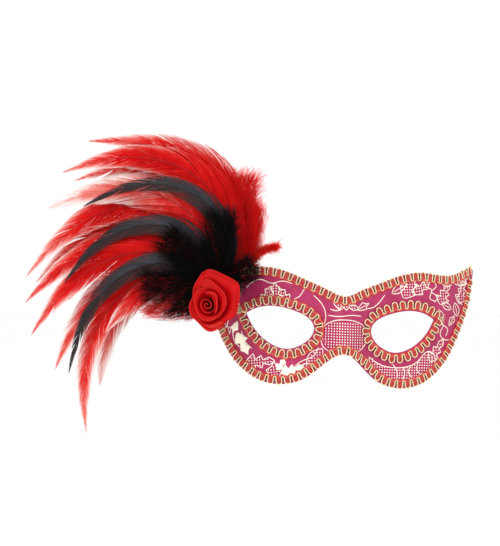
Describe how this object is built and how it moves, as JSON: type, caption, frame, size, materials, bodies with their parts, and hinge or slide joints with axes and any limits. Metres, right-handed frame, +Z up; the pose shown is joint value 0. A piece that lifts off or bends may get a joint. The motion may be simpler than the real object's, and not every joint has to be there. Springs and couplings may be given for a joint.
{
  "type": "venetian masquerade mask",
  "caption": "Half-face masquerade mask with upswept wing tips, braided edges, a ribbon rose and a side plume of curled feathers.",
  "frame": {"origin": "where the lining rests on the bridge of the wearer's nose, on the mask's middle plane", "axes": "+Z up, the front faces -Y, +Y points at the wearer, and the plume is on the -X side"},
  "size_m": [0.2868, 0.0878, 0.1917],
  "materials": {
    "shell_black": "formed black shell",
    "printed_satin": "magenta satin with gold foil leaf and dot print",
    "lining_felt": "black felt lining",
    "gimp_braid": "gold metallic gimp with red filling and orange-red scallops",
    "tab_webbing": "stiffened black ribbon",
    "eyelet_metal": "pressed eyelet",
    "pad_felt": "black felt",
    "binding_glue": "hot-melt glue over bound quills",
    "rose_satin": "red satin ribbon",
    "red_feather": "dyed red hackle feather with pale translucent ends",
    "black_feather": "black hackle feather with a blue-grey sheen",
    "red_marabou": "red marabou down",
    "black_marabou": "black marabou down"
  },
  "bodies": {
    "mask": {"anchor_eyelet_left": "eyelet_metal", "anchor_eyelet_right": "eyelet_metal", "anchor_tab_left": "tab_webbing", "anchor_tab_right": "tab_webbing", "black_marabou_1": "black_marabou", "black_marabou_2": "black_marabou", "black_marabou_3": "black_marabou", "black_marabou_4": "black_marabou", "black_marabou_5": "black_marabou", "edge_braid_lower": "gimp_braid", "edge_braid_upper": "gimp_braid", "eye_braid_left": "gimp_braid", "eye_braid_right": "gimp_braid", "face_fabric": "printed_satin", "lining": "lining_felt", "mask_shell": "shell_black", "plume_pad": "pad_felt", "quill_binding": "binding_glue", "red_marabou_1": "red_marabou", "red_marabou_2": "red_marabou", "red_marabou_3": "red_marabou", "red_marabou_4": "red_marabou", "rose_base": "pad_felt", "rose_bud": "rose_satin", "rose_ribbon": "rose_satin"},
    "black_feather_1_body": {"black_feather_1": "black_feather"},
    "black_feather_2_body": {"black_feather_2": "black_feather"},
    "black_feather_3_body": {"black_feather_3": "black_feather"},
    "black_hackle_1_body": {"black_hackle_1": "black_feather"},
    "black_hackle_2_body": {"black_hackle_2": "black_feather"},
    "red_feather_01_body": {"red_feather_01": "red_feather"},
    "red_feather_02_body": {"red_feather_02": "red_feather"},
    "red_feather_03_body": {"red_feather_03": "red_feather"},
    "red_feather_04_body": {"red_feather_04": "red_feather"},
    "red_feather_05_body": {"red_feather_05": "red_feather"},
    "red_feather_06_body": {"red_feather_06": "red_feather"},
    "red_feather_07_body": {"red_feather_07": "red_feather"},
    "red_feather_08_body": {"red_feather_08": "red_feather"},
    "red_feather_09_body": {"red_feather_09": "red_feather"},
    "red_feather_10_body": {"red_feather_10": "red_feather"},
    "red_feather_11_body": {"red_feather_11": "red_feather"},
    "red_feather_12_body": {"red_feather_12": "red_feather"},
    "red_feather_13_body": {"red_feather_13": "red_feather"},
    "red_feather_14_body": {"red_feather_14": "red_feather"},
    "red_feather_15_body": {"red_feather_15": "red_feather"},
    "red_feather_16_body": {"red_feather_16": "red_feather"},
    "red_feather_17_body": {"red_feather_17": "red_feather"},
    "red_feather_18_body": {"red_feather_18": "red_feather"}
  },
  "joints": [
    {"name": "black_feather_1_sway", "type": "hinge", "parent": "mask", "child": "black_feather_1_body", "pos_m": [-0.0805, 0.0085, 0.021], "axis": [0.342, 0.9397, 0], "range_deg": [-8, 8], "stiffness_Nm_per_rad": 0.02},
    {"name": "black_feather_2_sway", "type": "hinge", "parent": "mask", "child": "black_feather_2_body", "pos_m": [-0.0805, 0.0085, 0.021], "axis": [0.342, 0.9397, 0], "range_deg": [-8, 8], "stiffness_Nm_per_rad": 0.02},
    {"name": "black_feather_3_sway", "type": "hinge", "parent": "mask", "child": "black_feather_3_body", "pos_m": [-0.0805, 0.0085, 0.021], "axis": [0.342, 0.9397, 0], "range_deg": [-8, 8], "stiffness_Nm_per_rad": 0.02},
    {"name": "black_hackle_1_sway", "type": "hinge", "parent": "mask", "child": "black_hackle_1_body", "pos_m": [-0.0805, 0.0085, 0.021], "axis": [0.342, 0.9397, 0], "range_deg": [-5, 5], "stiffness_Nm_per_rad": 0.001},
    {"name": "black_hackle_2_sway", "type": "hinge", "parent": "mask", "child": "black_hackle_2_body", "pos_m": [-0.0805, 0.0085, 0.021], "axis": [0.342, 0.9397, 0], "range_deg": [-5, 5], "stiffness_Nm_per_rad": 0.001},
    {"name": "red_feather_01_sway", "type": "hinge", "parent": "mask", "child": "red_feather_01_body", "pos_m": [-0.0805, 0.0085, 0.021], "axis": [0.342, 0.9397, 0], "range_deg": [-8, 8], "stiffness_Nm_per_rad": 0.02},
    {"name": "red_feather_02_sway", "type": "hinge", "parent": "mask", "child": "red_feather_02_body", "pos_m": [-0.0805, 0.0085, 0.021], "axis": [0.342, 0.9397, 0], "range_deg": [-8, 8], "stiffness_Nm_per_rad": 0.02},
    {"name": "red_feather_03_sway", "type": "hinge", "parent": "mask", "child": "red_feather_03_body", "pos_m": [-0.0805, 0.0085, 0.021], "axis": [0.342, 0.9397, 0], "range_deg": [-8, 8], "stiffness_Nm_per_rad": 0.02},
    {"name": "red_feather_04_sway", "type": "hinge", "parent": "mask", "child": "red_feather_04_body", "pos_m": [-0.0805, 0.0085, 0.021], "axis": [0.342, 0.9397, 0], "range_deg": [-8, 8], "stiffness_Nm_per_rad": 0.02},
    {"name": "red_feather_05_sway", "type": "hinge", "parent": "mask", "child": "red_feather_05_body", "pos_m": [-0.0805, 0.0085, 0.021], "axis": [0.342, 0.9397, 0], "range_deg": [-8, 8], "stiffness_Nm_per_rad": 0.02},
    {"name": "red_feather_06_sway", "type": "hinge", "parent": "mask", "child": "red_feather_06_body", "pos_m": [-0.0805, 0.0085, 0.021], "axis": [0.342, 0.9397, 0], "range_deg": [-8, 8], "stiffness_Nm_per_rad": 0.02},
    {"name": "red_feather_07_sway", "type": "hinge", "parent": "mask", "child": "red_feather_07_body", "pos_m": [-0.0805, 0.0085, 0.021], "axis": [0.342, 0.9397, 0], "range_deg": [-8, 8], "stiffness_Nm_per_rad": 0.02},
    {"name": "red_feather_08_sway", "type": "hinge", "parent": "mask", "child": "red_feather_08_body", "pos_m": [-0.0805, 0.0085, 0.021], "axis": [0.342, 0.9397, 0], "range_deg": [-8, 8], "stiffness_Nm_per_rad": 0.02},
    {"name": "red_feather_09_sway", "type": "hinge", "parent": "mask", "child": "red_feather_09_body", "pos_m": [-0.0805, 0.0085, 0.021], "axis": [0.342, 0.9397, 0], "range_deg": [-8, 8], "stiffness_Nm_per_rad": 0.02},
    {"name": "red_feather_10_sway", "type": "hinge", "parent": "mask", "child": "red_feather_10_body", "pos_m": [-0.0805, 0.0085, 0.021], "axis": [0.342, 0.9397, 0], "range_deg": [-8, 8], "stiffness_Nm_per_rad": 0.02},
    {"name": "red_feather_11_sway", "type": "hinge", "parent": "mask", "child": "red_feather_11_body", "pos_m": [-0.0805, 0.0085, 0.021], "axis": [0.342, 0.9397, 0], "range_deg": [-8, 8], "stiffness_Nm_per_rad": 0.02},
    {"name": "red_feather_12_sway", "type": "hinge", "parent": "mask", "child": "red_feather_12_body", "pos_m": [-0.0805, 0.0085, 0.021], "axis": [0.342, 0.9397, 0], "range_deg": [-8, 8], "stiffness_Nm_per_rad": 0.02},
    {"name": "red_feather_13_sway", "type": "hinge", "parent": "mask", "child": "red_feather_13_body", "pos_m": [-0.0805, 0.0085, 0.021], "axis": [0.342, 0.9397, 0], "range_deg": [-8, 8], "stiffness_Nm_per_rad": 0.02},
    {"name": "red_feather_14_sway", "type": "hinge", "parent": "mask", "child": "red_feather_14_body", "pos_m": [-0.0805, 0.0085, 0.021], "axis": [0.342, 0.9397, 0], "range_deg": [-8, 8], "stiffness_Nm_per_rad": 0.02},
    {"name": "red_feather_15_sway", "type": "hinge", "parent": "mask", "child": "red_feather_15_body", "pos_m": [-0.0805, 0.0085, 0.021], "axis": [0.342, 0.9397, 0], "range_deg": [-8, 8], "stiffness_Nm_per_rad": 0.02},
    {"name": "red_feather_16_sway", "type": "hinge", "parent": "mask", "child": "red_feather_16_body", "pos_m": [-0.0805, 0.0085, 0.021], "axis": [0.342, 0.9397, 0], "range_deg": [-8, 8], "stiffness_Nm_per_rad": 0.02},
    {"name": "red_feather_17_sway", "type": "hinge", "parent": "mask", "child": "red_feather_17_body", "pos_m": [-0.0805, 0.0085, 0.021], "axis": [0.342, 0.9397, 0], "range_deg": [-8, 8], "stiffness_Nm_per_rad": 0.02},
    {"name": "red_feather_18_sway", "type": "hinge", "parent": "mask", "child": "red_feather_18_body", "pos_m": [-0.0805, 0.0085, 0.021], "axis": [0.342, 0.9397, 0], "range_deg": [-8, 8], "stiffness_Nm_per_rad": 0.02}
  ]
}
